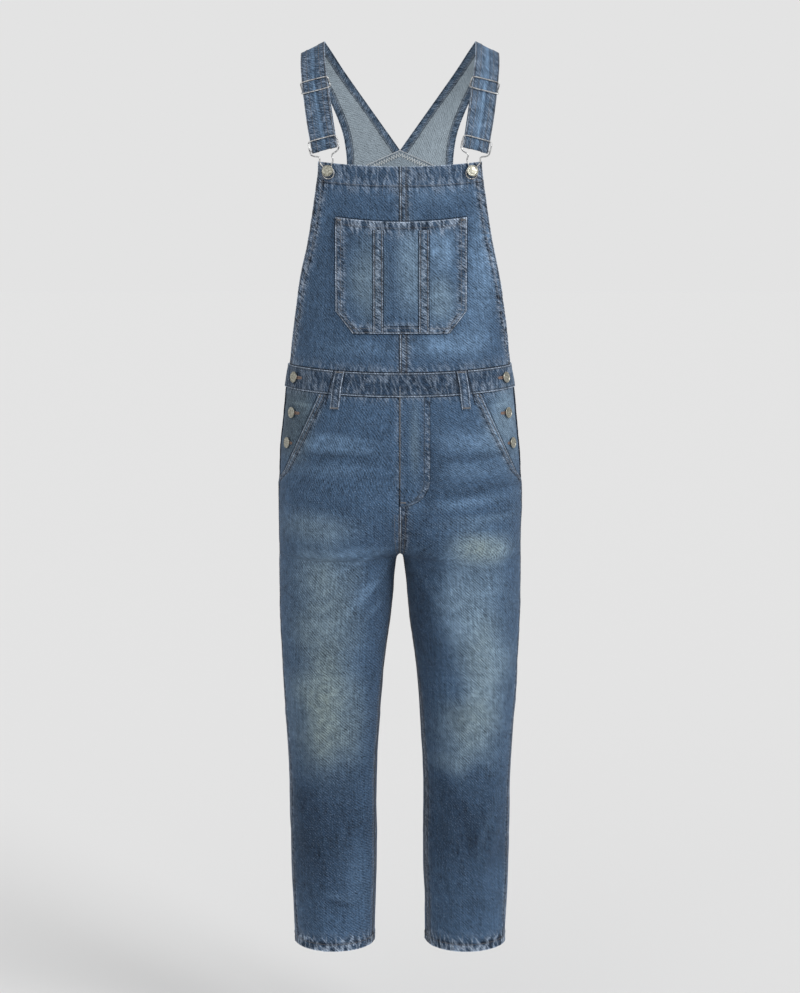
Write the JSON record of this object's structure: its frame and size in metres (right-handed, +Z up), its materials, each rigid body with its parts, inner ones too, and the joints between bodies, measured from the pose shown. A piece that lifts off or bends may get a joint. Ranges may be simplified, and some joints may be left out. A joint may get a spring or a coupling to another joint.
{
  "type": "dungarees",
  "caption": "Denim dungarees filled out as if worn: bib with a patch pocket, wide-based straps on wire buckles, slant pockets, buttoned side openings and straight cropped legs.",
  "frame": {"origin": "midway between the two shoulders, at the height where the undersides of the straps bear on them", "axes": "+Z up, the wearer faces -Y, +X to the right of the front view, which is the wearer's left"},
  "size_m": [0.3808, 0.2533, 1.4212],
  "materials": {
    "denim": "mid-blue washed cotton denim, faded on the thighs and knees, 1.5 mm thick",
    "nickel": "aged nickel, slightly yellowed"
  },
  "bodies": {
    "root": {"back_leg_left": "denim", "back_leg_right": "denim", "back_panel": "denim", "belt_loop_back_centre": "denim", "belt_loop_back_left": "denim", "belt_loop_back_right": "denim", "belt_loop_front_left": "denim", "belt_loop_front_right": "denim", "bib_button_left": "nickel", "bib_button_right": "nickel", "bib_left": "denim", "bib_pocket": "denim", "bib_right": "denim", "button_stand_left": "denim", "button_stand_right": "denim", "clip_left": "nickel", "clip_right": "nickel", "fly": "denim", "front_leg_left": "denim", "front_leg_right": "denim", "hip_button_lower_left": "nickel", "hip_button_lower_right": "nickel", "hip_button_upper_left": "nickel", "hip_button_upper_right": "nickel", "pocket_bearer_left": "denim", "pocket_bearer_right": "denim", "pocket_divider_left": "denim", "pocket_divider_right": "denim", "slider_left": "nickel", "slider_right": "nickel", "strap_left": "denim", "strap_right": "denim", "waist_button_left": "nickel", "waist_button_right": "nickel", "waistband_back": "denim", "waistband_front_left": "denim", "waistband_front_right": "denim"}
  },
  "joints": []
}
